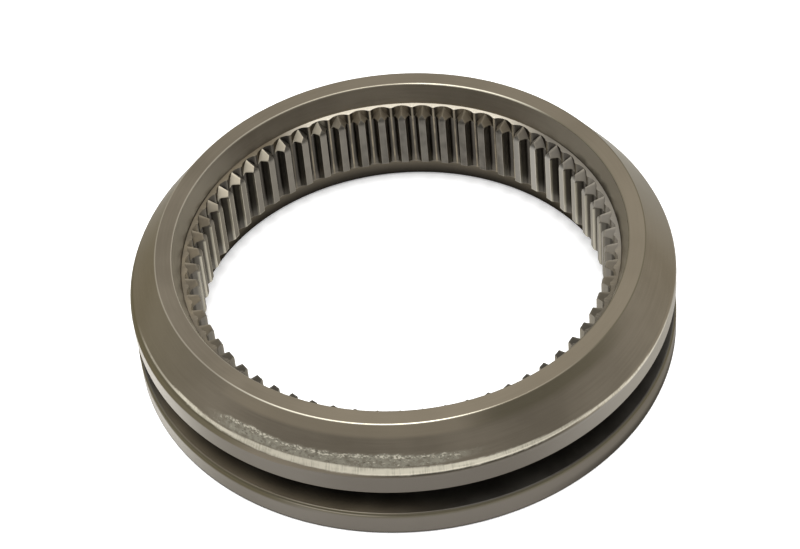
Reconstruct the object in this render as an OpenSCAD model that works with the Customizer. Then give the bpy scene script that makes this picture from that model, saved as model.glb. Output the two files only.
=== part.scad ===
// Gearbox sliding sleeve: a steel ring with pointed internal teeth, a coned upper side
// and a groove for a shift fork.
// Units are millimetres. The ring stands on its lower end face, with Z as its axis.

/* [Toothing] */
// Number of internal teeth
tooth_count = 60; // [48:1:72]
// Module: pitch circle diameter divided by the number of teeth
tooth_module = 2; // [1.8:0.05:2.3]
// Pressure angle of the flanks, degrees
pressure_angle = 20; // [18:0.5:22]
// Included angle of the roof on each tooth's upper end, degrees
point_angle = 78; // [70:1:100]
// Slope of the roof's ridge, falling toward the axis, degrees
ridge_slope = 15; // [8:1:18]
// Height of the lead-in cone on the tooth crests, below the ledge
lead_in_h = 3.1; // [2.5:0.1:3.6]
// Slope of the lead-in cone against the axis, degrees
lead_in_angle = 20; // [12:1:24]
// Slope of the teeth's coned lower ends against the end face, degrees
lower_end_angle = 35; // [25:1:50]
// Break in the corner between each flank and the root
root_break = 0.6; // [0.3:0.05:0.7]
// Distance from the tooth roots out to the round end of each pointing cut
pointing_reach = 0.95; // [0.7:0.05:1.2]

/* [Bore ends] */
// Depth of the upper recess, from the end face to the ledge above the teeth
upper_recess_h = 6; // [5:0.1:8]
// Radial width of the ledge around the tooth roots
ledge_w = 1.8; // [1.4:0.05:2.4]
// Radial growth of the upper recess, from the ledge up to the end face
upper_recess_flare = 2.2; // [1.5:0.1:3]
// Depth of the lower recess, from the lower end face to its step
lower_recess_h = 7.5; // [5:0.1:9]
// Height of the plain root land between that step and the teeth
root_land_h = 0.4; // [0.3:0.1:1]
// Step from the tooth roots out to the lower recess
lower_recess_step = 1.8; // [1:0.1:2.4]
// Chamfer where the lower recess meets the lower end face
lower_recess_chamfer = 1; // [0.5:0.1:1.5]

/* [Outside] */
// Radial width of the flat upper end face
end_face_w = 4.8; // [3.5:0.1:6]
// Radial growth of the outer cone
cone_w = 8.1; // [6.5:0.1:10]
// Height of the outer cone
cone_h = 11.2; // [9:0.1:13]
// Radial width of the broken edge between the cone and the upper flange
shoulder_w = 0.6; // [0.3:0.1:1]
// Height of that broken edge
shoulder_h = 1.4; // [0.8:0.1:2]
// Height of the upper flange, from the groove to the cone
upper_flange_h = 7.6; // [6:0.1:10]
// Height of the lower flange, from the lower end face to the groove
lower_flange_h = 8.2; // [6:0.1:11]
// Chamfer on the lower flange's bottom edge
base_chamfer = 0.5; // [0.3:0.1:1.2]
// Break on both edges of the upper end face
end_face_break = 0.3; // [0.2:0.05:0.6]

/* [Fork groove] */
// Width of the groove between its walls
groove_w = 9; // [7:0.1:12]
// Depth of the groove from the flanges' outside
groove_depth = 9; // [6:0.1:10]
// Chamfer on the groove's mouth
groove_mouth = 0.6; // [0.3:0.1:1]
// Chamfer in the groove's inner corners
groove_corner = 1; // [0.5:0.1:1.5]

/* [Hidden] */
$fn = 180;

// Tooth form: crest and root lie this many modules from the pitch circle
crest_modules = 0.8;
root_modules = 0.7;
// Straight steps along each flank
flank_steps = 4;
// Pointing cutter: its radius and half the width of its path, in modules
cutter_modules = 2.3;
path_modules = 1.52;
// The ridge's outer end lies this far below the ledge, and each tooth's foot twice as far
tip_drop = 0.1;
// Depth by which each tooth runs into the ring behind its root
tooth_embed = 0.3;
// Length by which a cutting shape runs past the surface it cuts
overrun = 1;

pitch_r = tooth_count * tooth_module / 2;
base_r = pitch_r * cos(pressure_angle);
crest_r = pitch_r - crest_modules * tooth_module;
root_r = pitch_r + root_modules * tooth_module;
tip_r = root_r + pointing_reach;

ledge_r = root_r + ledge_w;
end_face_inner_r = ledge_r + upper_recess_flare;
end_face_outer_r = end_face_inner_r + end_face_w;
cone_r = end_face_outer_r + cone_w;
outer_r = cone_r + shoulder_w;
groove_r = outer_r - groove_depth;
lower_recess_r = root_r + lower_recess_step;

groove_top_z = lower_flange_h + groove_w;
cone_z = groove_top_z + upper_flange_h;
top_z = cone_z + cone_h;
ledge_z = top_z - upper_recess_h;
tooth_h = ledge_z - 2 * tip_drop - lower_recess_h;

// Involute of an angle in degrees, given in degrees
function involute(angle) = tan(angle) * 180 / PI - angle;

// Half the angle that one tooth takes up at radius r
function tooth_half_angle(r) =
    90 / tooth_count - involute(pressure_angle) + involute(acos(base_r / r));

// Point on one flank: side is -1 or 1, step counts from the crest to the break at the root
function flank_radius(step) = crest_r + (root_r - root_break - crest_r) * step / flank_steps;
function polar(r, angle) = [r * cos(angle), r * sin(angle)];
function flank_point(step, side) =
    polar(flank_radius(step), side * tooth_half_angle(flank_radius(step)));

// Point at the given distance from one corner toward the next
function toward(from, to, distance) = from + (to - from) * distance / norm(to - from);

// Turned cross-section of the ring, radius by height
module ring_section() {
    shoulder = [cone_r, cone_z];
    ledge = [ledge_r, ledge_z];
    rim_outer = [end_face_outer_r, top_z];
    rim_inner = [end_face_inner_r, top_z];
    polygon([
        [root_r, lower_recess_h],
        [lower_recess_r, lower_recess_h],
        [lower_recess_r, lower_recess_chamfer],
        [lower_recess_r + lower_recess_chamfer, 0],
        [outer_r - base_chamfer, 0],
        [outer_r, base_chamfer],
        [outer_r, lower_flange_h - groove_mouth],
        [outer_r - groove_mouth, lower_flange_h],
        [groove_r + groove_corner, lower_flange_h],
        [groove_r, lower_flange_h + groove_corner],
        [groove_r, groove_top_z - groove_corner],
        [groove_r + groove_corner, groove_top_z],
        [outer_r - groove_mouth, groove_top_z],
        [outer_r, groove_top_z + groove_mouth],
        [outer_r, cone_z - shoulder_h],
        shoulder,
        toward(rim_outer, shoulder, end_face_break),
        toward(rim_outer, rim_inner, end_face_break),
        toward(rim_inner, rim_outer, end_face_break),
        toward(rim_inner, ledge, end_face_break),
        ledge,
        [root_r, ledge_z]
    ]);
}

// Outline of one tooth on the X axis, with its foot inside the ring
module tooth_outline() {
    foot_angle = tooth_half_angle(root_r) + asin(root_break / root_r);
    foot_radii = [root_r, root_r + tooth_embed];
    polygon(concat(
        [for (step = [0:flank_steps]) flank_point(step, -1)],
        [for (i = [0, 1]) polar(foot_radii[i], -foot_angle)],
        [for (i = [1, 0]) polar(foot_radii[i], foot_angle)],
        [for (step = [flank_steps:-1:0]) flank_point(step, 1)]
    ));
}

// Space above the two roof facets of one tooth, open upward
module above_roof() {
    reach = 2 * tooth_module;
    fall = reach / tan(point_angle / 2);
    length = tip_r - crest_r + 2 * overrun;
    translate([tip_r, 0, ledge_z - tip_drop])
        rotate([0, -ridge_slope, 0])
            rotate([90, 0, -90])
                translate([0, 0, -overrun])
                    linear_extrude(length)
                        polygon([[0, 0], [reach, -fall], [reach, reach], [-reach, reach], [-reach, -fall]]);
}

// Plan of the pointing cut: straight sides and a round end in the ledge
module pointing_plan() {
    cutter_r = cutter_modules * tooth_module;
    path_w = 2 * path_modules * tooth_module;
    intersection() {
        translate([tip_r - cutter_r, 0])
            circle(cutter_r);
        translate([crest_r - overrun, -path_w / 2])
            square([tip_r - crest_r + 2 * overrun, path_w]);
    }
}

// Metal taken off one tooth and the ledge behind it to point the tooth
module pointing_cut() {
    intersection() {
        above_roof();
        translate([0, 0, ledge_z - tooth_h / 2])
            linear_extrude(tooth_h / 2 + overrun)
                pointing_plan();
    }
}

// Space inside the lead-in cone that opens upward from the tooth crests
module lead_in() {
    rise = lead_in_h + overrun;
    rotate_extrude()
        polygon([
            [crest_r - overrun, ledge_z - lead_in_h],
            [crest_r, ledge_z - lead_in_h],
            [crest_r + rise * tan(lead_in_angle), ledge_z + overrun],
            [crest_r - overrun, ledge_z + overrun]
        ]);
}

// Space below the cone that ends the teeth, from the roots up to the crests
module below_teeth() {
    root_z = lower_recess_h + root_land_h;
    rise = (root_r - crest_r + overrun) * tan(lower_end_angle);
    rotate_extrude()
        polygon([
            [root_r + overrun, root_z - overrun * tan(lower_end_angle)],
            [crest_r - overrun, root_z + rise],
            [crest_r - overrun, root_z - 2 * overrun],
            [root_r + overrun, root_z - 2 * overrun]
        ]);
}

module tooth() {
    difference() {
        translate([0, 0, lower_recess_h])
            linear_extrude(tooth_h)
                tooth_outline();
        lead_in();
        below_teeth();
    }
}

module sliding_sleeve() {
    color([0.42, 0.40, 0.36])
        difference() {
            union() {
                rotate_extrude()
                    ring_section();
                for (i = [0:tooth_count - 1])
                    rotate(i * 360 / tooth_count)
                        tooth();
            }
            for (i = [0:tooth_count - 1])
                rotate(i * 360 / tooth_count)
                    pointing_cut();
        }
}

sliding_sleeve();
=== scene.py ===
"""Gearbox sliding sleeve: a finely meshed steel ring, its worn steel, and the studio around it."""

import math

import bmesh
import bpy
from mathutils import Matrix, Vector, noise


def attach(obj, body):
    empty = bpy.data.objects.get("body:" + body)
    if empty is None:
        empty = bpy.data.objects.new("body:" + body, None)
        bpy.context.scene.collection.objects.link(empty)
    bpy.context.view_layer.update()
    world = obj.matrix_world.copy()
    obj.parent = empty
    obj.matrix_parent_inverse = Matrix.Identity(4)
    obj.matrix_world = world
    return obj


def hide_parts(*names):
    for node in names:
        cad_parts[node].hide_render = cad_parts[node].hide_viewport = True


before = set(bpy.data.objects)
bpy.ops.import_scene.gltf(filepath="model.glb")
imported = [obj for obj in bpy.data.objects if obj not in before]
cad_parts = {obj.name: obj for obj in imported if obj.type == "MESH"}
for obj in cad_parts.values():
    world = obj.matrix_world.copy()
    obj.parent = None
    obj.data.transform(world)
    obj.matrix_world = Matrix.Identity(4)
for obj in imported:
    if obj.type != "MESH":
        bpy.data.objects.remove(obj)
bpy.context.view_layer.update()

# Driving sizes in millimetres, as in the part's source
MM = 0.001
TOOTH_COUNT = 60
MODULE = 2.0
PRESSURE_ANGLE = math.radians(20)
CREST_MODULES = 0.8
ROOT_MODULES = 0.7
ROOT_BREAK = 0.6
POINT_HALF_ANGLE = math.radians(39)
RIDGE_SLOPE = math.radians(15)
POINTING_REACH = 0.95
CUTTER_MODULES = 2.3
TIP_DROP = 0.1
LEAD_IN_H = 3.1
LEAD_IN_ANGLE = math.radians(20)
ROOT_LAND_H = 0.4
FOOT_ANGLE = math.radians(35)
UPPER_RECESS_H = 6.0
UPPER_RECESS_FLARE = 2.2
LEDGE_W = 1.8
STEP_Z = 7.5
STEP_W = 1.8
RECESS_CHAMFER = 1.0
FACE_W = 4.8
FACE_BREAK = 0.3
CONE_W = 8.1
CONE_H = 11.2
SHOULDER_W = 0.6
SHOULDER_H = 1.4
UPPER_FLANGE_H = 7.6
LOWER_FLANGE_H = 8.2
BASE_CHAMFER = 0.5
GROOVE_W = 9.0
GROOVE_DEPTH = 9.0
GROOVE_MOUTH = 0.6
GROOVE_CORNER = 1.0

# Radii and heights that follow from them
HALF_PITCH = math.pi / TOOTH_COUNT
PITCH_R = TOOTH_COUNT * MODULE / 2
BASE_R = PITCH_R * math.cos(PRESSURE_ANGLE)
CREST_R = PITCH_R - CREST_MODULES * MODULE
ROOT_R = PITCH_R + ROOT_MODULES * MODULE
TIP_R = ROOT_R + POINTING_REACH
CUTTER_R = CUTTER_MODULES * MODULE
CUTTER_X = TIP_R - CUTTER_R
LEDGE_R = ROOT_R + LEDGE_W
RECESS_R = ROOT_R + STEP_W
FACE_INNER_R = LEDGE_R + UPPER_RECESS_FLARE
FACE_OUTER_R = FACE_INNER_R + FACE_W
CONE_R = FACE_OUTER_R + CONE_W
OUTER_R = CONE_R + SHOULDER_W
GROOVE_R = OUTER_R - GROOVE_DEPTH
GROOVE_LOW_Z = LOWER_FLANGE_H
GROOVE_HIGH_Z = GROOVE_LOW_Z + GROOVE_W
CONE_Z = GROOVE_HIGH_Z + UPPER_FLANGE_H
TOP_Z = CONE_Z + CONE_H
LEDGE_Z = TOP_Z - UPPER_RECESS_H
TIP_Z = LEDGE_Z - TIP_DROP
LEAD_IN_Z = LEDGE_Z - LEAD_IN_H
FOOT_Z = STEP_Z + ROOT_LAND_H
CONE_LENGTH = math.hypot(CONE_W, CONE_H)

# Width of the narrow rows beside the teeth's broken edges
EDGE_ROW = 0.3

# Broken edges of the teeth: their width, and the angle from which an edge counts as sharp
TOOTH_EDGE = 0.1
SHARP_ANGLE = math.radians(24)

# Rounding of the turned edges
FINE_ROUND = 0.15
PLAIN_ROUND = 0.25
MOUTH_ROUND = 0.3
CORNER_ROUND = 0.8
SHOULDER_ROUND = 0.9

# Pairs of circles that are stitched together on the flat faces: height, inner and outer radius
LEDGE_SEAM = (LEDGE_Z, 62.9, LEDGE_R)
STEP_SEAM = (STEP_Z, 62.3, 62.8)
TOP_SEAM = (TOP_Z, 67.2, 68.6)
BASE_SEAM = (0.0, 66.0, 72.0)

# Longest rows of the turned surfaces, the rows beside their rounded edges, and the columns of the recesses
WORN_ROW = 0.33
OUTSIDE_ROW = 2.6
RECESS_ROW = 1.7
GUARD_ROW = 0.25
RECESS_COLUMNS = 240

# Faces that meet at less than this angle are shaded as one surface
SMOOTH_ANGLE = math.radians(38)

# Points closer than this are merged, and points this close to a height or a circle lie on it, in metres
MERGE_DISTANCE = 2e-6
ON_HEIGHT = 1e-7
ON_CIRCLE = 2e-7

# Zones of the surface, also the order of the material slots
TURNED, GROOVE, TOOTHING = range(3)

# Wear marks on the points of the mesh, which the materials read
MARKS = ("edge_wear", "streak", "patch", "frayed_edge")

# Columns of the outside: plan angle where each stretch starts, and the step in it, degrees
STRETCHES = ((208.0, 0.5), (218.0, 0.25), (284.0, 0.5), (300.0, 1.5), (568.0, None))

# Worn streak and patch on the cone: plan angles in degrees against shares of the cone
STREAK_LINE = ((186, 0.905), (206, 0.905), (212, 0.895), (222, 0.917), (247, 0.926), (261, 0.954),
               (270, 0.955), (278, 0.969), (288, 0.976), (303, 1.0), (311, 1.04), (320, 1.08), (345, 1.09))
STREAK_HALF_WIDTH = ((186, 0.015), (206, 0.024), (212, 0.034), (226, 0.043), (235, 0.064), (247, 0.074),
                     (261, 0.069), (270, 0.066), (278, 0.057), (288, 0.052), (303, 0.03), (345, 0.024))
PATCH_TOP = ((218, 0.70), (226, 0.60), (231, 0.58), (240, 0.63), (248, 0.635), (261, 0.60), (272, 0.66),
             (284, 0.70))
PATCH_BASE = ((218, 0.87), (240, 0.86), (250, 0.87), (261, 0.89), (272, 0.87), (284, 0.8))

# Plan angles where they start, are full, fade and end
STREAK_ENDS = (188, 198, 325, 344)
PATCH_ENDS = (218, 229, 271, 284)

# From this share down, the cone's rows are fine enough for the wear
WORN_SHARE = 0.52

# Depth of the wear: the streak, the patch, its unevenness and its pits
STREAK_DEPTH = 0.03
PATCH_DEPTH = 0.04
PATCH_UNEVEN = 0.03
PIT_DEPTH = 0.08


def involute(angle):
    return math.tan(angle) - angle


def tooth_half_angle(r):
    """Half the angle that one tooth takes up at radius r, in radians."""
    return HALF_PITCH / 2 - involute(PRESSURE_ANGLE) + involute(math.acos(BASE_R / r))


def polar(r, angle):
    return r * math.cos(angle), r * math.sin(angle)


def flank(r):
    return polar(r, tooth_half_angle(r))


def roof_z(x, y):
    """Height of a tooth's roof above plan point x, y, for the tooth on the X axis."""
    fall = abs(y) / (math.tan(POINT_HALF_ANGLE) * math.cos(RIDGE_SLOPE))
    return TIP_Z - (TIP_R - x) * math.tan(RIDGE_SLOPE) - fall


def lead_in_z(r):
    return LEAD_IN_Z + (r - CREST_R) / math.tan(LEAD_IN_ANGLE)


def foot_z(r):
    """Height of the teeth's coned lower ends at radius r."""
    return FOOT_Z + (ROOT_R - r) * math.tan(FOOT_ANGLE)


def zero_of(rising, low, high):
    """Place between low and high where a rising function passes zero."""
    for _ in range(50):
        middle = (low + high) / 2
        if rising(middle) < 0:
            low = middle
        else:
            high = middle
    return low


def smooth_step(x, low, high):
    t = min(1.0, max(0.0, (x - low) / (high - low)))
    return t * t * (3 - 2 * t)


def window(x, start, full, fade, end):
    return smooth_step(x, start, full) * (1 - smooth_step(x, fade, end))


def along(line, x):
    """Value at x on a line of (x, value) points."""
    if x <= line[0][0]:
        return line[0][1]
    for (x0, v0), (x1, v1) in zip(line, line[1:]):
        if x <= x1:
            return v0 + (v1 - v0) * (x - x0) / (x1 - x0)
    return line[-1][1]


def rounded(corners, steps=2):
    """Points along a path whose corners are (radius, height, rounding, edge wear)."""
    path = []
    last = len(corners) - 1
    for i, (r, z, fillet, worn) in enumerate(corners):
        here = Vector((r, z))
        if i in (0, last) or not fillet:
            path.append((r, z, 0.0))
            continue
        back = (Vector(corners[i - 1][:2]) - here).normalized()
        on = (Vector(corners[i + 1][:2]) - here).normalized()
        half = back.angle(on) / 2
        reach = fillet / math.tan(half)
        centre = here + (back + on).normalized() * fillet / math.sin(half)
        start, end = here + back * reach, here + on * reach
        path.append((*(start + back * min(reach, GUARD_ROW)), 0.0))
        for k in range(steps + 1):
            p = start.lerp(end, k / steps)
            p = centre + (p - centre).normalized() * fillet
            path.append((p.x, p.y, worn))
        path.append((*(end + on * min(reach, GUARD_ROW)), 0.0))
    return path


def subdivided(path, spacing):
    """The same path with its long straight runs divided; spacing gives the longest run at a point."""
    out = [path[0]]
    for a, b in zip(path, path[1:]):
        run = math.hypot(b[0] - a[0], b[1] - a[1])
        count = max(1, math.ceil(run / spacing((a[0] + b[0]) / 2, (a[1] + b[1]) / 2)))
        for k in range(1, count + 1):
            out.append(tuple(u + (v - u) * k / count for u, v in zip(a, b)))
    return out


class Surface:
    """Collects points with their wear marks, and faces with their zones, before they become one mesh."""

    def __init__(self):
        self.points, self.marks, self.faces, self.zones = [], [], [], []

    def add_point(self, p, **marks):
        self.points.append(tuple(c * MM for c in p))
        self.marks.append(tuple(marks.get(name, 0.0) for name in MARKS))
        return len(self.points) - 1

    def add_face(self, ids, zone):
        self.faces.append(ids)
        self.zones.append(zone)

    def grid(self, rows, zone):
        """Quads between rows of points, each row the same length."""
        ids = [[self.add_point(p) for p in row] for row in rows]
        for low, high in zip(ids, ids[1:]):
            for corners in zip(low, low[1:], high[1:], high):
                self.add_face(corners, zone)

    def shell(self, path, angles, zone_at):
        """A surface of revolution through a path of (radius, height, edge weight), with its wear."""
        normals = []
        for i in range(len(path)):
            a, b = path[max(0, i - 1)], path[min(len(path) - 1, i + 1)]
            run = math.hypot(b[0] - a[0], b[1] - a[1])
            normals.append(((b[1] - a[1]) / run, (a[0] - b[0]) / run))
        ids = []
        for (r, z, edge), (nr, nz) in zip(path, normals):
            row = []
            for angle in angles:
                depth, marks = wear(angle, r, z)
                x, y = polar(r - nr * depth, angle)
                row.append(self.add_point((x, y, z - nz * depth), edge_wear=edge, **marks))
            ids.append(row)
        for a, b, low, high in zip(path, path[1:], ids, ids[1:]):
            zone = zone_at((a[0] + b[0]) / 2, (a[1] + b[1]) / 2)
            for k in range(len(angles)):
                n = (k + 1) % len(angles)
                self.add_face((low[k], low[n], high[n], high[k]), zone)


def column_angles():
    """Plan angles of the outside's columns, finest along the pitted stretch."""
    angles = []
    for (start, step), (end, _) in zip(STRETCHES, STRETCHES[1:]):
        count = round((end - start) / step)
        angles += [start + (end - start) * k / count for k in range(count)]
    return [math.radians(a) for a in angles]


def cone_share(r):
    """Place along the outer cone, 0 at the end face and 1 at the shoulder."""
    return (r - FACE_OUTER_R) / CONE_W


def cone_r(share):
    return FACE_OUTER_R + CONE_W * share


def cone_z(share):
    return TOP_Z - CONE_H * share


def wear(angle, r, z):
    """Depth of the wear below the turned form, in millimetres, and its marks."""
    turn = math.degrees(angle) % 360
    on_cone = z > CONE_Z - SHOULDER_H and r > FACE_OUTER_R + 1
    if not (on_cone and STREAK_LINE[0][0] < turn < STREAK_LINE[-1][0]):
        return 0.0, {}
    share = cone_share(r) if z > CONE_Z else 1 + (CONE_Z - z) / CONE_LENGTH
    around, down = r * angle, share * CONE_LENGTH

    def ripple(across, along_ring, seed):
        return noise.noise(Vector((around * along_ring, down * across, seed)))

    # Polished streak along the cone's lower edge, worn in; the bright cream it is given is partly a painted
    # highlight
    wander = 0.008 * ripple(0.1, 0.35, 2.0) + 0.006 * ripple(0.3, 1.1, 5.0)
    off = abs(share - along(STREAK_LINE, turn) + wander)
    half_width = along(STREAK_HALF_WIDTH, turn)
    streak = 1 - smooth_step(off, half_width * 0.8, half_width * 1.2)
    polish_and_highlight = 0.32 + 0.5 * smooth_step(turn, 205, 214) + 0.18 * smooth_step(turn, 235, 255)
    polish_and_highlight *= 1 - 0.4 * smooth_step(turn, 276, 304)
    streak *= polish_and_highlight * window(turn, *STREAK_ENDS)

    # Pitted patch above it, with a frayed upper edge
    fray = 0.03 * ripple(0.2, 0.45, 8.0) + 0.02 * ripple(0.5, 1.2, 9.0)
    top, base = along(PATCH_TOP, turn) + fray, along(PATCH_BASE, turn)
    patch = window(share, top - 0.02, top + 0.03, base - 0.05, base + 0.02) * window(turn, *PATCH_ENDS)
    frayed_edge = patch * (1 - smooth_step(abs(share - top - 0.03), 0.02, 0.09))
    pit = smooth_step(ripple(1.3, 0.75, 21.0), 0.12, 0.4)
    depth = patch * (PATCH_DEPTH + PATCH_UNEVEN * ripple(0.9, 0.5, 3.0) + PIT_DEPTH * pit)
    depth += STREAK_DEPTH * streak
    return max(0.0, depth), {"streak": streak, "patch": patch, "frayed_edge": frayed_edge}


def outside_path():
    """Path from the lower end face around the flanges, the groove and the cone to the upper end face."""
    corners = [
        (BASE_SEAM[2], 0, 0, 0),
        (OUTER_R - BASE_CHAMFER, 0, PLAIN_ROUND, 0),
        (OUTER_R, BASE_CHAMFER, PLAIN_ROUND, 0),
        (OUTER_R, GROOVE_LOW_Z - GROOVE_MOUTH, MOUTH_ROUND, 0.5),
        (OUTER_R - GROOVE_MOUTH, GROOVE_LOW_Z, MOUTH_ROUND, 0.5),
        (GROOVE_R + GROOVE_CORNER, GROOVE_LOW_Z, CORNER_ROUND, 0),
        (GROOVE_R, GROOVE_LOW_Z + GROOVE_CORNER, CORNER_ROUND, 0),
        (GROOVE_R, GROOVE_HIGH_Z - GROOVE_CORNER, CORNER_ROUND, 0),
        (GROOVE_R + GROOVE_CORNER, GROOVE_HIGH_Z, CORNER_ROUND, 0),
        (OUTER_R - GROOVE_MOUTH, GROOVE_HIGH_Z, MOUTH_ROUND, 0),
        (OUTER_R, GROOVE_HIGH_Z + GROOVE_MOUTH, MOUTH_ROUND, 0.1),
        (OUTER_R, CONE_Z - SHOULDER_H, SHOULDER_ROUND, 0),
        (CONE_R, CONE_Z, SHOULDER_ROUND, 0),
        (cone_r(WORN_SHARE), cone_z(WORN_SHARE), 0, 0),
        (FACE_OUTER_R, TOP_Z, FACE_BREAK, 1),
        (TOP_SEAM[2], TOP_Z, 0, 0),
    ]

    def spacing(r, z):
        worn = CONE_Z - SHOULDER_H < z < cone_z(WORN_SHARE)
        return WORN_ROW if worn else OUTSIDE_ROW

    return subdivided(rounded(corners), spacing)


def outside_zone(r, z):
    """The groove's own zone starts halfway down the chamfers of its mouth."""
    reach = GROOVE_MOUTH / 2
    in_groove = r < OUTER_R - reach and GROOVE_LOW_Z - reach < z < GROOVE_HIGH_Z + reach
    return GROOVE if in_groove else TURNED


def build_shells(surface):
    """The turned outside and the two turned recesses of the bore."""
    surface.shell(outside_path(), column_angles(), outside_zone)
    angles = [2 * math.pi * k / RECESS_COLUMNS for k in range(RECESS_COLUMNS)]
    upper = [
        (LEDGE_R, LEDGE_Z, 0, 0),
        (FACE_INNER_R, TOP_Z, FACE_BREAK, 1),
        (TOP_SEAM[1], TOP_Z, 0, 0),
    ]
    lower = [
        (STEP_SEAM[2], STEP_Z, 0, 0),
        (RECESS_R, STEP_Z, FINE_ROUND, 0),
        (RECESS_R, RECESS_CHAMFER, PLAIN_ROUND, 0),
        (RECESS_R + RECESS_CHAMFER, 0, PLAIN_ROUND, 0),
        (BASE_SEAM[1], 0, 0, 0),
    ]
    for corners in (upper, lower):
        surface.shell(subdivided(rounded(corners), lambda r, z: RECESS_ROW), angles, lambda r, z: TURNED)


def curved_patch(side_a, side_b, end_a, end_b):
    """Plan points between four curves: rows run from end_a to end_b, each from side_a to side_b."""
    rows, columns = len(side_a) - 1, len(end_a) - 1
    patch = []
    for i in range(rows + 1):
        u = i / rows
        row = []
        for k in range(columns + 1):
            v = k / columns
            row.append(tuple(
                (1 - u) * end_a[k][c] + u * end_b[k][c] + (1 - v) * side_a[i][c] + v * side_b[i][c]
                - (1 - u) * ((1 - v) * end_a[0][c] + v * end_a[-1][c])
                - u * ((1 - v) * end_b[0][c] + v * end_b[-1][c])
                for c in (0, 1)))
        patch.append(row)
    return patch


def at_height(points, z):
    return [(x, y, z) for x, y in points]


def on_roof(points):
    return [(x, y, roof_z(x, y)) for x, y in points]


def on_foot(points):
    return [(x, y, foot_z(math.hypot(x, y))) for x, y in points]


def upright(low, high):
    """Rows of a wall from its low edge to its high edge, with narrow rows beside both."""
    return [low, [(x, y, z + EDGE_ROW) for x, y, z in low], [(x, y, z - EDGE_ROW) for x, y, z in high], high]


def half_tooth():
    """Patches of the bore for half a tooth and half a space, as rows of points."""
    across, along_flank, round_root = 5, 3, 4
    share = [k / across for k in range(across + 1)]

    # Plan curves that bound the roof facet, from the tooth's middle line to its side
    shoulder_r = zero_of(lambda r: lead_in_z(r) - roof_z(*flank(r)), CREST_R, TIP_R)

    def lead_in_point(angle):
        return polar(zero_of(lambda r: lead_in_z(r) - roof_z(*polar(r, angle)), CREST_R, TIP_R), angle)

    inner = [lead_in_point(tooth_half_angle(shoulder_r) * t) for t in share]
    land_angle = zero_of(lambda a: math.dist(polar(ROOT_R, a), (CUTTER_X, 0)) - CUTTER_R, 0, HALF_PITCH)
    land_start = polar(ROOT_R, land_angle)
    sweep = math.atan2(land_start[1], land_start[0] - CUTTER_X)
    scallop = [(CUTTER_X + CUTTER_R * math.cos(sweep * t), CUTTER_R * math.sin(sweep * t)) for t in share]

    # Side of the tooth: along the flank, then round the corner at the root
    break_r = ROOT_R - ROOT_BREAK
    side = [flank(shoulder_r + (break_r - shoulder_r) * k / along_flank) for k in range(along_flank + 1)]
    bend = (side[-1], polar(ROOT_R, tooth_half_angle(ROOT_R)), land_start)
    for k in range(1, round_root + 1):
        t = k / round_root
        side.append(tuple((1 - t) ** 2 * a + 2 * t * (1 - t) * b + t * t * c for a, b, c in zip(*bend)))
    ridge = [(inner[0][0] + (TIP_R - inner[0][0]) * k / (len(side) - 1), 0.0) for k in range(len(side))]

    crest = [polar(CREST_R, tooth_half_angle(CREST_R) * t) for t in share]
    edge_r = CREST_R + EDGE_ROW
    edge_row = [(*polar(edge_r, tooth_half_angle(edge_r) * t), lead_in_z(edge_r)) for t in share]
    wall = [crest[-1], flank(edge_r)] + side
    wall_top = [(*crest[-1], LEAD_IN_Z), edge_row[-1]] + on_roof(side)
    land = [polar(ROOT_R, land_angle + (HALF_PITCH - land_angle) * k / 2) for k in range(3)]
    rim = scallop + land[1:]
    feet = [[polar(math.hypot(x, y), math.atan2(y, x) * t) for t in share] for x, y in wall]
    band = feet[-1] + land[1:]

    def out_to(points, r):
        return [polar(r, math.atan2(y, x)) for x, y in points]

    return [
        [on_roof(row) for row in curved_patch(ridge, side, inner, scallop)],
        [at_height(crest, LEAD_IN_Z), edge_row, on_roof(inner)],
        upright(on_foot(crest), at_height(crest, LEAD_IN_Z)),
        upright(on_foot(wall), wall_top),
        upright(on_foot(land), at_height(land, roof_z(*land_start))) + [at_height(land, LEDGE_Z)],
        [on_roof(scallop), at_height(scallop, LEDGE_Z)],
        [at_height(rim, LEDGE_Z), at_height(out_to(rim, LEDGE_SEAM[1]), LEDGE_Z)],
        [on_foot(row) for row in feet],
        [at_height(band, STEP_Z), on_foot(band)],
        [at_height(band, STEP_Z), at_height(out_to(band, STEP_SEAM[1]), STEP_Z)],
    ]


def build_toothing(surface):
    patches = half_tooth()
    for tooth in range(TOOTH_COUNT):
        turn = Matrix.Rotation(2 * HALF_PITCH * tooth, 3, "Z")
        for side in (1, -1):
            for rows in patches:
                surface.grid([[turn @ Vector((x, side * y, z)) for x, y, z in row] for row in rows], TOOTHING)


def seam(mesh, r, z):
    """Vertices on the circle of radius r at height z, in order around it."""
    loop = [v for v in mesh.verts
            if abs(v.co.z - z * MM) < ON_HEIGHT and abs(math.hypot(v.co.x, v.co.y) - r * MM) < ON_CIRCLE]
    return sorted(loop, key=lambda v: math.atan2(v.co.y, v.co.x) % (2 * math.pi))


def stitch(mesh, inner, outer, zone):
    """Triangles between two closed loops of vertices on one flat face."""
    def angle(loop, i):
        v = loop[i % len(loop)]
        return math.atan2(v.co.y, v.co.x) % (2 * math.pi) + 2 * math.pi * (i // len(loop))

    i = j = 0
    while i < len(inner) or j < len(outer):
        a, b = inner[i % len(inner)], outer[j % len(outer)]
        if j >= len(outer) or (i < len(inner) and angle(inner, i + 1) <= angle(outer, j + 1)):
            i += 1
            corners = (a, inner[i % len(inner)], b)
        else:
            j += 1
            corners = (a, outer[j % len(outer)], b)
        mesh.faces.new(corners).material_index = zone


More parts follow.
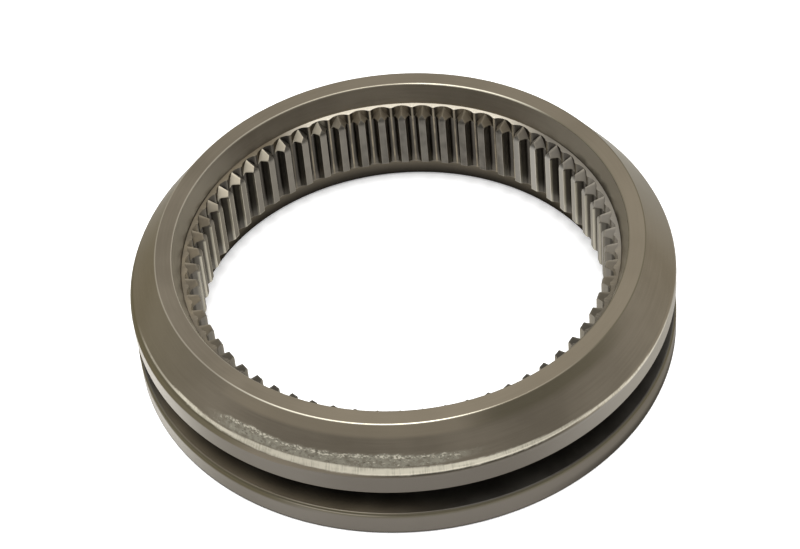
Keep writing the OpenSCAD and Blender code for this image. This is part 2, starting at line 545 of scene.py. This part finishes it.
def break_tooth_edges(mesh, layer):
    """Breaks the sharp outer edges of the teeth, and marks the broken edges as worn."""
    def is_sharp(edge):
        if len(edge.link_faces) != 2 or not edge.is_convex:
            return False
        on_teeth = all(f.material_index == TOOTHING for f in edge.link_faces)
        on_ledge = all(abs(v.co.z - LEDGE_Z * MM) < ON_HEIGHT for v in edge.verts)
        return on_teeth and not on_ledge and edge.calc_face_angle() > SHARP_ANGLE

    edges = [e for e in mesh.edges if is_sharp(e)]
    made = bmesh.ops.bevel(mesh, geom=edges, offset=TOOTH_EDGE * MM, offset_type="OFFSET", segments=2,
                           profile=0.5, affect="EDGES", clamp_overlap=True, material=-1)
    for v in made["verts"]:
        v[layer] = 1.0


def build_sleeve(name):
    """The whole ring as one closed mesh, with its wear marks and zones."""
    surface = Surface()
    build_shells(surface)
    build_toothing(surface)
    data = bpy.data.meshes.new(name)
    data.from_pydata(surface.points, [], surface.faces)
    mesh = bmesh.new()
    mesh.from_mesh(data)
    layers = [mesh.verts.layers.float.new(mark) for mark in MARKS]
    for v, values in zip(mesh.verts, surface.marks):
        for layer, value in zip(layers, values):
            v[layer] = value
    for f, zone in zip(mesh.faces, surface.zones):
        f.material_index = zone
    bmesh.ops.remove_doubles(mesh, verts=mesh.verts[:], dist=MERGE_DISTANCE)
    for z, inner_r, outer_r in (LEDGE_SEAM, STEP_SEAM, TOP_SEAM, BASE_SEAM):
        stitch(mesh, seam(mesh, inner_r, z), seam(mesh, outer_r, z), TOOTHING if z == LEDGE_Z else TURNED)
    bmesh.ops.recalc_face_normals(mesh, faces=mesh.faces[:])
    break_tooth_edges(mesh, layers[0])
    for f in mesh.faces:
        f.smooth = True
    for e in mesh.edges:
        e.smooth = len(e.link_faces) == 2 and e.calc_face_angle() < SMOOTH_ANGLE
    mesh.to_mesh(data)
    mesh.free()
    piece = bpy.data.objects.new(name, data)
    bpy.context.scene.collection.objects.link(piece)
    shade = piece.modifiers.new("even_shading", "WEIGHTED_NORMAL")
    shade.keep_sharp = True
    return piece


class Steel:
    """One steel material, with short ways to add and link its nodes; lengths are in millimetres."""

    def __init__(self, name):
        self.material = bpy.data.materials.new(name)
        self.material.use_nodes = True
        self.tree = self.material.node_tree
        self.shader = self.tree.nodes["Principled BSDF"]
        self.shader.inputs["Metallic"].default_value = 1.0
        self.place = self.node("TexCoord").outputs["Object"]
        parts = self.node("SeparateXYZ", {"Vector": self.place}).outputs
        x, y, self.z = [self.math("DIVIDE", part, MM) for part in parts]
        self.r = self.math("SQRT", self.sum(self.product(x, x), self.product(y, y)))
        self.turn = self.math("DEGREES", self.math("ARCTAN2", y, x))
        self.cosine, self.sine = self.math("DIVIDE", x, self.r), self.math("DIVIDE", y, self.r)
        self.share = self.math("DIVIDE", self.math("SUBTRACT", self.r, FACE_OUTER_R), CONE_W)

    def node(self, kind, inputs=None, **settings):
        made = self.tree.nodes.new("ShaderNode" + kind)
        for key, value in settings.items():
            setattr(made, key, value)
        for key, value in (inputs or {}).items():
            self.feed(made.inputs[key], value)
        return made

    def feed(self, socket, value):
        if isinstance(value, bpy.types.NodeSocket):
            self.tree.links.new(value, socket)
        else:
            socket.default_value = value

    def math(self, operation, *values):
        return self.node("Math", dict(enumerate(values)), operation=operation).outputs[0]

    def product(self, first, *others):
        for other in others:
            first = self.math("MULTIPLY", first, other)
        return first

    def sum(self, first, *others):
        for other in others:
            first = self.math("ADD", first, other)
        return first

    def rest(self, share):
        return self.math("SUBTRACT", 1.0, share)

    def step(self, value, low, high):
        """0 below low and 1 above high, with a smooth change between; low may be the higher of the two."""
        inputs = {"Value": value, "From Min": low, "From Max": high}
        return self.node("MapRange", inputs, interpolation_type="SMOOTHSTEP").outputs["Result"]

    def window(self, value, start, full, fade, end):
        return self.product(self.step(value, start, full), self.step(value, end, fade))

    def stretch(self, angles):
        return self.window(self.turn, *angles)

    def mark(self, name):
        return self.node("Attribute", attribute_name=name).outputs["Fac"]

    def mix(self, share, a, b):
        made = self.node("Mix", {0: share, 6: a, 7: b}, data_type="RGBA")
        return made.outputs[2]

    def coat(self, colour, other, *shares):
        """One colour with another laid over it, as far as all the shares allow."""
        return self.mix(self.product(*shares), colour, other)

    def clouds(self, per_mm):
        """Soft cloudy noise."""
        inputs = {"Vector": self.place, "Scale": per_mm / MM, "Detail": 3.0}
        return self.node("TexNoise", inputs).outputs["Fac"]

    def rings(self, per_mm, breaks, detail=3.0):
        """Fine lines around the axis, as turning leaves; breaks sets how often they change along the ring."""
        along_ring = [self.product(part, breaks) for part in (self.cosine, self.sine)]
        across, up = self.product(self.r, per_mm), self.product(self.z, per_mm)
        vector = self.node("CombineXYZ", {"X": along_ring[0], "Y": along_ring[1], "Z": across}).outputs[0]
        inputs = {"Vector": vector, "W": up, "Scale": 1.0, "Detail": detail}
        return self.node("TexNoise", inputs, noise_dimensions="4D").outputs["Fac"]

    def finish(self, colour, roughness, relief):
        self.feed(self.shader.inputs["Base Color"], colour)
        self.feed(self.shader.inputs["Roughness"], roughness)
        bump = self.node("Bump", {"Height": relief, "Strength": 1.0, "Distance": GRAIN_DEPTH * MM})
        self.feed(self.shader.inputs["Normal"], bump.outputs["Normal"])
        return self.material


GRAIN_DEPTH = 0.012

DARK_STEEL = (0.117, 0.1, 0.075, 1)
STEEL = (0.15, 0.129, 0.098, 1)
FLANGE_STEEL = (0.1, 0.09, 0.077, 1)
LOW_FLANGE_STEEL = (0.124, 0.112, 0.096, 1)
# Pale sheen: painted reflection on the flanges' sides and on the teeth at the right
PAINTED_SHEEN_STEEL = (0.27, 0.256, 0.23, 1)
# Painted highlight on the cone at the right
CONE_HIGHLIGHT_STEEL = (0.18, 0.168, 0.145, 1)
OLIVE_STEEL = (0.078, 0.068, 0.043, 1)
WARM_STEEL = (0.215, 0.182, 0.131, 1)
# Painted light on the groove's lower wall
LIT_WALL_STEEL = (0.285, 0.237, 0.165, 1)
SCUFFED_STEEL = (0.255, 0.24, 0.19, 1)
# Painted light and highlights: recess sides, the groove's lip, flank ends and broken edges
PAINTED_LIGHT_STEEL = (0.32, 0.288, 0.228, 1)
CREST_STEEL = (0.112, 0.103, 0.088, 1)
# Painted shade on the groove, the crests, the flanks and the facets in front
PAINTED_SHADE_STEEL = (0.075, 0.069, 0.059, 1)
FLANK_STEEL = (0.17, 0.155, 0.13, 1)
SHADED_STEEL = (0.052, 0.047, 0.04, 1)
DULL_CREAM = (0.42, 0.39, 0.31, 1)
SOFT_CREAM = (0.6, 0.56, 0.455, 1)
CREAM = (0.7, 0.64, 0.52, 1)
PALE_CREAM = (0.92, 0.87, 0.76, 1)
# Painted shade on the flanges, a darker band in the upper recess, and dark specks in the pits of the worn
# patch
SHADE_AND_GRIME = (0.03, 0.027, 0.022, 1)
# Painted shade at the lower end of the bore
BORE_SHADE_BLACK = (0.01, 0.009, 0.008, 1)

# Tint of the reflection at grazing angles, on oiled and on clean steel
EDGE_TINT = (0.5, 0.48, 0.44, 1)
CLEAN_TINT = (1, 0.97, 0.92, 1)

# Stretches with a tone of their own, nearly all of it painted light and shade: plan angles where each starts,
# is full, fades and ends, degrees.
# The camera stands near -90, the right is near 0 and the back near 90.
# Painted reflection on the upper cone in front
LIT_CONE = (-142, -128, -92, -70)
# Painted shade on the upper cone at the front right
SHADED_CONE = (-84, -72, -52, -30)
# Painted highlight on the cone at the right
RIGHT_CONE_SHEEN = (-16, 14, 36, 62)
# Painted shade under the worn streak in front
SHADE_UNDER_STREAK = (-108, -92, -70, -54)
# Darker band low in the upper recess at the right
DARK_RECESS = (-12, 0, 20, 36)
# Painted highlights on the end face's broken edges, outside in front and inside at the back
OUTER_RIM_HIGHLIGHT = (-144, -118, -90, -70)
INNER_RIM_HIGHLIGHT = (36, 50, 72, 88)
FAINT_INNER_HIGHLIGHT = (70, 88, 120, 150)
# Painted highlight on the groove's lip at the front left
LIP_HIGHLIGHT = (-124, -116, -106, -96)
# Painted light on the groove's lower wall at the front left
LIT_GROOVE_WALL = (-168, -150, -112, -80)
# Painted sheen on the teeth at the right
SHEEN_TEETH = (-22, 0, 40, 56)
# Painted light on the teeth at the back
LIT_BACK_TEETH = (50, 66, 100, 114)
# Painted light on the facets at the back left
LIT_FACETS = (98, 112, 142, 156)
# Painted light on the ledge at the back
LIT_LEDGE = (38, 60, 106, 124)


def cone_tones(m, colour):
    """Warm end face and upper cone in front, olive at the front right and the far left, grey at the right:
    painted reflection and shade on the cone, painted light on the end face, and painted shade below the
    streak at the left.
    """
    on_cone = m.product(m.step(m.share, 0.0, 0.03), m.step(m.z, 23.2, 23.6))
    # Painted reflection: warmer upper cone in front
    colour = m.coat(colour, WARM_STEEL, m.stretch(LIT_CONE), m.step(m.share, 0.32, 0.22), on_cone, 0.6)
    # Painted shade on the upper cone at the front right, and at the far left
    colour = m.coat(colour, OLIVE_STEEL, m.stretch(SHADED_CONE), m.step(m.share, 0.4, 0.2), on_cone, 0.65)
    colour = m.coat(colour, OLIVE_STEEL, m.step(m.cosine, -0.72, -0.95), on_cone, 0.4)
    # Painted highlight on the cone at the right
    colour = m.coat(colour, CONE_HIGHLIGHT_STEEL, m.stretch(RIGHT_CONE_SHEEN), on_cone, 0.9)
    # Painted shade just below the worn streak at the left
    shade_below_streak = m.product(m.step(m.share, 0.92, 0.95), m.step(m.z, 22.2, 22.6))
    colour = m.coat(colour, OLIVE_STEEL, shade_below_streak, m.step(m.cosine, -0.58, -0.72), 0.8)
    # Painted light on the end face, weaker at the back and none at the far left
    face = m.product(m.step(m.share, 0.02, 0.0), m.step(m.z, 35.4, 35.7), m.step(m.cosine, -0.95, -0.3))
    face_light = m.math("SUBTRACT", 0.4, m.product(m.step(m.sine, 0.2, 0.6), 0.2))
    return m.coat(colour, WARM_STEEL, face, face_light)


def flange_tones(m, colour):
    """Greyer flanges with a painted sheen at the sides, palest at the far left, painted shade at the groove's
    mouth, under the streak, low at the right and along the bottom edge.
    """
    upper = m.step(m.z, 14, 16)
    at_left = m.step(m.cosine, -0.35, -0.6)
    tone = m.mix(upper, LOW_FLANGE_STEEL, FLANGE_STEEL)
    # Painted sheen at the sides of the flanges, strongest at the far left
    tone = m.coat(tone, PAINTED_SHEEN_STEEL, m.step(m.cosine, -0.2, -0.66), 0.22)
    tone = m.coat(tone, PAINTED_SHEEN_STEEL, m.step(m.cosine, -0.62, -0.95))
    tone = m.coat(tone, PAINTED_SHEEN_STEEL, m.step(m.cosine, 0.25, 1.0), upper)
    height = m.sum(m.z, m.product(at_left, 0.6))
    flange = m.product(m.step(m.r, CONE_R, CONE_R + 0.3), m.step(height, 24.2, 23.4))
    colour = m.mix(flange, colour, tone)
    # Painted shade in a thin band under the worn streak in front
    shade_below_streak = m.product(m.window(m.share, 1.005, 1.02, 1.04, 1.06), m.step(m.z, 22.5, 23))
    colour = m.coat(colour, SHADE_AND_GRIME, shade_below_streak, m.stretch(SHADE_UNDER_STREAK), 0.8)

    at_rim = m.step(m.r, 77.6, 78)
    # Painted shade at the groove's mouth, wider at the left
    wide, narrow = m.product(m.step(m.z, 5.4, 6.6), at_left), m.product(m.step(m.z, 6.3, 7.7), 0.9)
    mouth = m.product(m.math("MAXIMUM", wide, narrow), m.rest(upper), at_rim)
    colour = m.coat(colour, OLIVE_STEEL, mouth, 0.95)
    clean = m.product(flange, m.step(m.cosine, -0.7, -0.95), m.rest(mouth))
    m.feed(m.shader.inputs["Specular Tint"], m.mix(clean, EDGE_TINT, CLEAN_TINT))
    # Painted shade low at the right and along the bottom edge, where the steel is also rougher
    at_right = m.product(m.step(m.z, 4.5, 1.2), m.step(m.cosine, 0.3, 0.7), 0.7)
    at_bottom = m.product(m.step(m.z, 1.2, 0.5), 0.8)
    shaded_low_flange = m.product(m.math("MAXIMUM", at_bottom, at_right), at_rim)
    return m.mix(shaded_low_flange, colour, SHADE_AND_GRIME), shaded_low_flange


def recess_tones(m, colour):
    """Upper recess with painted light at the sides and darker in its corner; painted shade toward the lower
    end of the bore.
    """
    to_side = m.math("ABSOLUTE", m.cosine)
    in_recess = m.product(m.step(m.r, 65.7, FACE_INNER_R), m.step(m.z, 28.5, 29.2))
    # Painted light on the upper recess at the sides
    lighter = m.sum(m.product(m.step(to_side, 0.6, 0.9), 0.65), m.product(m.step(m.cosine, -0.6, -0.9), 0.2))
    colour = m.coat(colour, PAINTED_LIGHT_STEEL, in_recess, lighter)
    # Darker blotchy band low in the recess at the right, and a thin dark line in its corner at the sides
    height = m.math("SUBTRACT", m.z, m.product(m.clouds(0.17), 4.5))
    dark_band = m.product(m.stretch(DARK_RECESS), m.step(height, 29.8, 28), 0.7)
    line = m.product(m.step(to_side, 0.7, 0.9), m.step(m.z, 30.6, 30.2))
    colour = m.coat(colour, SHADE_AND_GRIME, in_recess, m.math("MAXIMUM", dark_band, line), 0.85)
    # Painted shade toward the lower end of the bore
    return m.coat(colour, BORE_SHADE_BLACK, m.step(m.r, 64.8, 64.4), m.step(m.z, 8.8, 0))


def edge_tones(m, colour):
    """Broken edges of the end face, polished and with painted highlights outside in front and inside at the
    back, painted shade at the right; a painted highlight on a lip of the groove.
    """
    edge = m.mark("edge_wear")
    face_edge = m.product(edge, m.step(m.z, 35.3, 35.6))
    # The broken edges are worn; their bright tone outside in front and inside at the back is a painted
    # highlight
    outside = m.sum(m.stretch(OUTER_RIM_HIGHLIGHT), m.product(m.step(m.cosine, -0.6, -0.8), 0.15))
    inside = m.sum(m.stretch(INNER_RIM_HIGHLIGHT), m.product(m.stretch(FAINT_INNER_HIGHLIGHT), 0.2))
    polish_and_highlight = m.sum(m.product(m.step(m.r, 67, 68), outside), m.product(m.step(m.r, 68, 67), inside), 0.06)
    polish_and_highlight = m.math("MINIMUM", m.product(face_edge, polish_and_highlight), 1.0)
    colour = m.coat(colour, SOFT_CREAM, polish_and_highlight)
    # Painted shade on the end face's edges at the right
    colour = m.coat(colour, OLIVE_STEEL, face_edge, m.step(m.cosine, 0.5, 0.8), 0.7)
    # Painted highlight on the groove's lip at the front left
    return m.coat(colour, PAINTED_LIGHT_STEEL, edge, m.step(m.z, 30, 20), m.stretch(LIP_HIGHLIGHT))


def scar_tones(m, colour):
    """Scuffed patch with cream specks along its frayed edge and small pits, above a polished streak whose
    bright cream is partly a painted highlight.
    """
    patch = m.mark("patch")
    fine = m.rings(2.3, 100, 2.0)
    scuffs = m.sum(0.4, m.product(m.step(m.rings(0.9, 55, 4.0), 0.36, 0.6), 0.5))
    colour = m.coat(colour, SCUFFED_STEEL, patch, scuffs)
    lifted = m.sum(fine, m.product(m.mark("frayed_edge"), 0.16))
    colour = m.coat(colour, SOFT_CREAM, patch, m.step(lifted, 0.62, 0.78), 0.8)
    colour = m.coat(colour, SHADE_AND_GRIME, patch, m.step(fine, 0.43, 0.32), 0.45)
    # Worn streak; its bright cream is partly a painted highlight
    scratch = m.sum(m.product(m.rings(0.16, 240, 2.0), 0.5), m.product(m.rings(0.7, 14), 0.5))
    polished = m.mix(m.step(scratch, 0.36, 0.54), DULL_CREAM, SOFT_CREAM)
    return m.coat(colour, polished, m.mark("streak"))


def turned_steel():
    m = Steel("turned_steel")
    grain, blotch = m.rings(1.5, 5), m.clouds(0.045)
    tone = m.sum(m.product(grain, 0.3), m.product(blotch, 0.7))
    colour = m.mix(m.step(tone, 0.3, 0.7), DARK_STEEL, STEEL)
    colour = cone_tones(m, colour)
    colour, shaded_low_flange = flange_tones(m, colour)
    colour = recess_tones(m, colour)
    colour = edge_tones(m, colour)
    colour = scar_tones(m, colour)
    roughness = m.sum(0.34, m.product(blotch, 0.16), m.product(shaded_low_flange, 0.35))
    return m.finish(colour, roughness, grain)


def groove_steel():
    """Groove darkened with painted shade, with painted light on its brown lower wall and a painted highlight
    on its lip at the front left.
    """
    m = Steel("groove_steel")
    grain, blotch = m.rings(1.1, 4), m.clouds(0.07)
    # Painted shade over the whole groove
    colour = m.mix(m.step(blotch, 0.35, 0.65), SHADED_STEEL, PAINTED_SHADE_STEEL)
    mouth = m.product(m.step(m.r, 77.8, 78.3), 0.65)
    lower_wall = m.product(m.step(m.z, 9.5, 8.5), m.step(m.r, 71.5, 77.6), m.rest(mouth))
    # Painted light on the groove's lower wall at the front left
    colour = m.coat(colour, LIT_WALL_STEEL, lower_wall, m.stretch(LIT_GROOVE_WALL))
    # Painted highlight on the lip at the front left
    colour = m.coat(colour, PAINTED_LIGHT_STEEL, m.mark("edge_wear"), m.stretch(LIP_HIGHLIGHT), 0.6)
    roughness = m.sum(0.42, m.product(blotch, 0.2))
    return m.finish(colour, roughness, grain)


def crest_tones(m, blotch, at_right):
    """Crests darkened with painted shade, with painted light at the left and a silvery painted sheen at the
    right.
    """
    tone = m.mix(m.step(blotch, 0.35, 0.65), PAINTED_SHADE_STEEL, CREST_STEEL)
    tone = m.coat(tone, FLANK_STEEL, m.step(m.cosine, 0.0, -0.4), 0.6)
    return m.mix(at_right, tone, PAINTED_SHEEN_STEEL)


def flank_tones(m, at_right):
    """Flanks with painted light and shade by their place around the ring, painted shade toward the roots, and
    a little painted light at their lower ends.
    """
    tone = m.mix(m.step(m.cosine, -0.6, -0.2), CREST_STEEL, FLANK_STEEL)
    tone = m.coat(tone, PAINTED_SHADE_STEEL, at_right, 0.7)
    tone = m.coat(tone, SHADED_STEEL, m.step(m.r, 60.2, 60.7))
    return m.coat(tone, PAINTED_LIGHT_STEEL, m.step(m.z, 11.5, 8.8), 0.1)


def roof_tones(m, blotch, facing_left, at_right):
    """Ground roof facets, with painted light brightest at the back left, a painted sheen at the right and
    painted shade in front.
    """
    tone = m.mix(m.step(blotch, 0.3, 0.7), STEEL, WARM_STEEL)
    tone = m.coat(tone, WARM_STEEL, m.stretch(LIT_BACK_TEETH), 0.5)
    tone = m.coat(tone, m.mix(facing_left, PAINTED_SHADE_STEEL, CREAM), m.stretch(LIT_FACETS))
    tone = m.coat(tone, PAINTED_SHEEN_STEEL, at_right, 0.6)
    return m.coat(tone, PAINTED_SHADE_STEEL, m.step(m.sine, -0.1, -0.75), 0.9)


def toothing_steel():
    m = Steel("toothing_steel")
    m.shader.inputs["Specular Tint"].default_value = EDGE_TINT
    blotch, at_right = m.clouds(0.24), m.stretch(SHEEN_TEETH)
    nx, ny, nz = m.node("SeparateXYZ", {"Vector": m.node("NewGeometry").outputs["Normal"]}).outputs
    radial = m.math("ABSOLUTE", m.sum(m.product(nx, m.cosine), m.product(ny, m.sine)))
    inward = m.step(radial, 0.85, 0.96)
    clockwise = m.math("SUBTRACT", m.product(nx, m.sine), m.product(ny, m.cosine))

    # Crests and a narrow painted highlight along each root, against the flanks
    crest = m.step(m.r, 60.2, 59.7)
    colour = m.coat(flank_tones(m, at_right), crest_tones(m, blotch, at_right), inward, crest)
    from_tooth = m.math("PINGPONG", m.turn, 180 / TOOTH_COUNT)
    line = m.product(m.step(from_tooth, 2.74, 2.86), m.step(m.r, 61.1, 61.3), m.step(m.cosine, -0.55, -0.3))
    root = m.mix(m.step(blotch, 0.35, 0.65), DARK_STEEL, WARM_STEEL)
    colour = m.coat(colour, root, inward, line)

    # Roof facets with their painted light and shade, also laid on the cut behind them at the back and at the
    # sides
    roof = roof_tones(m, blotch, m.step(clockwise, 0.0, -0.3), at_right)
    behind = m.product(m.step(m.r, 61.5, 61.7), m.step(m.z, 26, 27))
    at_side = m.step(m.math("ABSOLUTE", m.cosine), 0.88, 0.96)
    lit = m.math("MAXIMUM", m.product(m.stretch(LIT_BACK_TEETH), inward), at_side)
    facet = m.math("MAXIMUM", m.step(nz, 0.42, 0.56), m.product(behind, lit))
    colour = m.mix(facet, colour, roof)

    # Ledge around them, with painted light at the back
    ledge = m.mix(m.stretch(LIT_FACETS), roof, WARM_STEEL)
    ledge = m.mix(m.stretch(LIT_LEDGE), ledge, PALE_CREAM)
    colour = m.mix(m.step(nz, 0.85, 0.95), colour, ledge)

    # Broken edges, worn, with painted highlights on the crests except in front and at the very back
    lit_edges = m.product(m.step(m.r, 59.4, 58.9), m.step(m.z, 27.2, 26.6))
    lit_edges = m.product(lit_edges, m.step(m.sine, -0.1, 0.2), m.step(m.sine, 0.9, 0.6))
    brightness = m.sum(0.2, m.product(lit_edges, 0.5))
    edge = m.mix(lit_edges, PAINTED_LIGHT_STEEL, SOFT_CREAM)
    colour = m.coat(colour, edge, m.mark("edge_wear"), brightness)
    roughness = m.sum(0.28, m.product(blotch, 0.14), m.product(facet, 0.3))
    return m.finish(colour, roughness, blotch)


# Camera found from the ring's edges in the photograph
IMAGE_WIDTH = 800
FOCAL_PIXELS = 2716.2
SENSOR = 36.0
CAMERA_ELEVATION = math.radians(45.92)
CAMERA_DISTANCE = 775.5
CAMERA_ROLL = math.radians(-5.65)
CAMERA_ASIDE = (0.744, 10.50)
TOOTH_PHASE = math.radians(1.74)

# Studio, in metres and watts: glowing floor, light from all around, softbox
FLOOR_SIZE = 6.0
FLOOR_WHITE = (0.95, 0.95, 0.95, 1)
FLOOR_GLOW = 0.3
LIGHT_IN_FRONT = 0.75
LIGHT_AT_BACK = 1.45
SOFTBOX_PLACE = (0.0, -0.35, 1.3)
SOFTBOX_SIZE = 0.9
SOFTBOX_POWER = 14


def add_camera():
    right = Vector((1, 0, 0))
    up = Vector((0, math.sin(CAMERA_ELEVATION), math.cos(CAMERA_ELEVATION)))
    back = Vector((0, -math.cos(CAMERA_ELEVATION), math.sin(CAMERA_ELEVATION)))
    place = Vector((0, 0, TOP_Z)) + back * CAMERA_DISTANCE
    place -= right * CAMERA_ASIDE[0] + up * CAMERA_ASIDE[1]
    c, s = math.cos(CAMERA_ROLL), math.sin(CAMERA_ROLL)
    axes = Matrix((right * c + up * s, up * c - right * s, back)).transposed()
    turn = Matrix.Rotation(-TOOTH_PHASE, 3, "Z")
    data = bpy.data.cameras.new("camera")
    data.sensor_fit = "HORIZONTAL"
    data.sensor_width = SENSOR
    data.lens = FOCAL_PIXELS / IMAGE_WIDTH * SENSOR
    data.clip_start = 0.01
    camera = bpy.data.objects.new("camera", data)
    bpy.context.scene.collection.objects.link(camera)
    camera.matrix_world = Matrix.Translation(turn @ place * MM) @ (turn @ axes).to_4x4()
    bpy.context.scene.camera = camera


def add_floor():
    """A pale floor that glows a little, like a light table."""
    side = FLOOR_SIZE / 2
    data = bpy.data.meshes.new("floor")
    corners = [(-side, -side, 0), (side, -side, 0), (side, side, 0), (-side, side, 0)]
    data.from_pydata(corners, [], [(0, 1, 2, 3)])
    floor = bpy.data.objects.new("floor", data)
    bpy.context.scene.collection.objects.link(floor)
    material = bpy.data.materials.new("pale_floor")
    material.use_nodes = True
    shader = material.node_tree.nodes["Principled BSDF"]
    shader.inputs["Base Color"].default_value = FLOOR_WHITE
    shader.inputs["Roughness"].default_value = 0.9
    shader.inputs["Emission Color"].default_value = (1, 1, 1, 1)
    shader.inputs["Emission Strength"].default_value = FLOOR_GLOW
    data.materials.append(material)


def add_softbox():
    """A round softbox above the ring, aimed at its middle."""
    data = bpy.data.lights.new("overhead_softbox", "AREA")
    data.shape = "DISK"
    data.size = SOFTBOX_SIZE
    data.energy = SOFTBOX_POWER
    light = bpy.data.objects.new("overhead_softbox", data)
    bpy.context.scene.collection.objects.link(light)
    light.location = SOFTBOX_PLACE
    light.rotation_euler = (-Vector(SOFTBOX_PLACE)).to_track_quat("-Z", "Y").to_euler()


def add_world():
    """Soft white light from all around, weaker in front than at the back."""
    world = bpy.data.worlds.new("studio")
    bpy.context.scene.world = world
    world.use_nodes = True
    nodes, links = world.node_tree.nodes, world.node_tree.links
    direction = nodes.new("ShaderNodeTexCoord").outputs["Generated"]
    parts = nodes.new("ShaderNodeSeparateXYZ")
    links.new(direction, parts.inputs[0])
    fade = nodes.new("ShaderNodeMapRange")
    fade.interpolation_type = "SMOOTHSTEP"
    links.new(parts.outputs["Y"], fade.inputs["Value"])
    limits = {"From Min": -0.8, "From Max": 0.6, "To Min": LIGHT_IN_FRONT, "To Max": LIGHT_AT_BACK}
    for socket, value in limits.items():
        fade.inputs[socket].default_value = value
    nodes["Background"].inputs["Color"].default_value = (1, 1, 1, 1)
    links.new(fade.outputs["Result"], nodes["Background"].inputs["Strength"])


sleeve = build_sleeve("worn_sleeve")
for material in (turned_steel(), groove_steel(), toothing_steel()):
    sleeve.data.materials.append(material)
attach(sleeve, "root")
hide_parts("sliding_sleeve")

add_camera()
add_floor()
add_world()
add_softbox()
bpy.context.scene.view_settings.view_transform = "Standard"
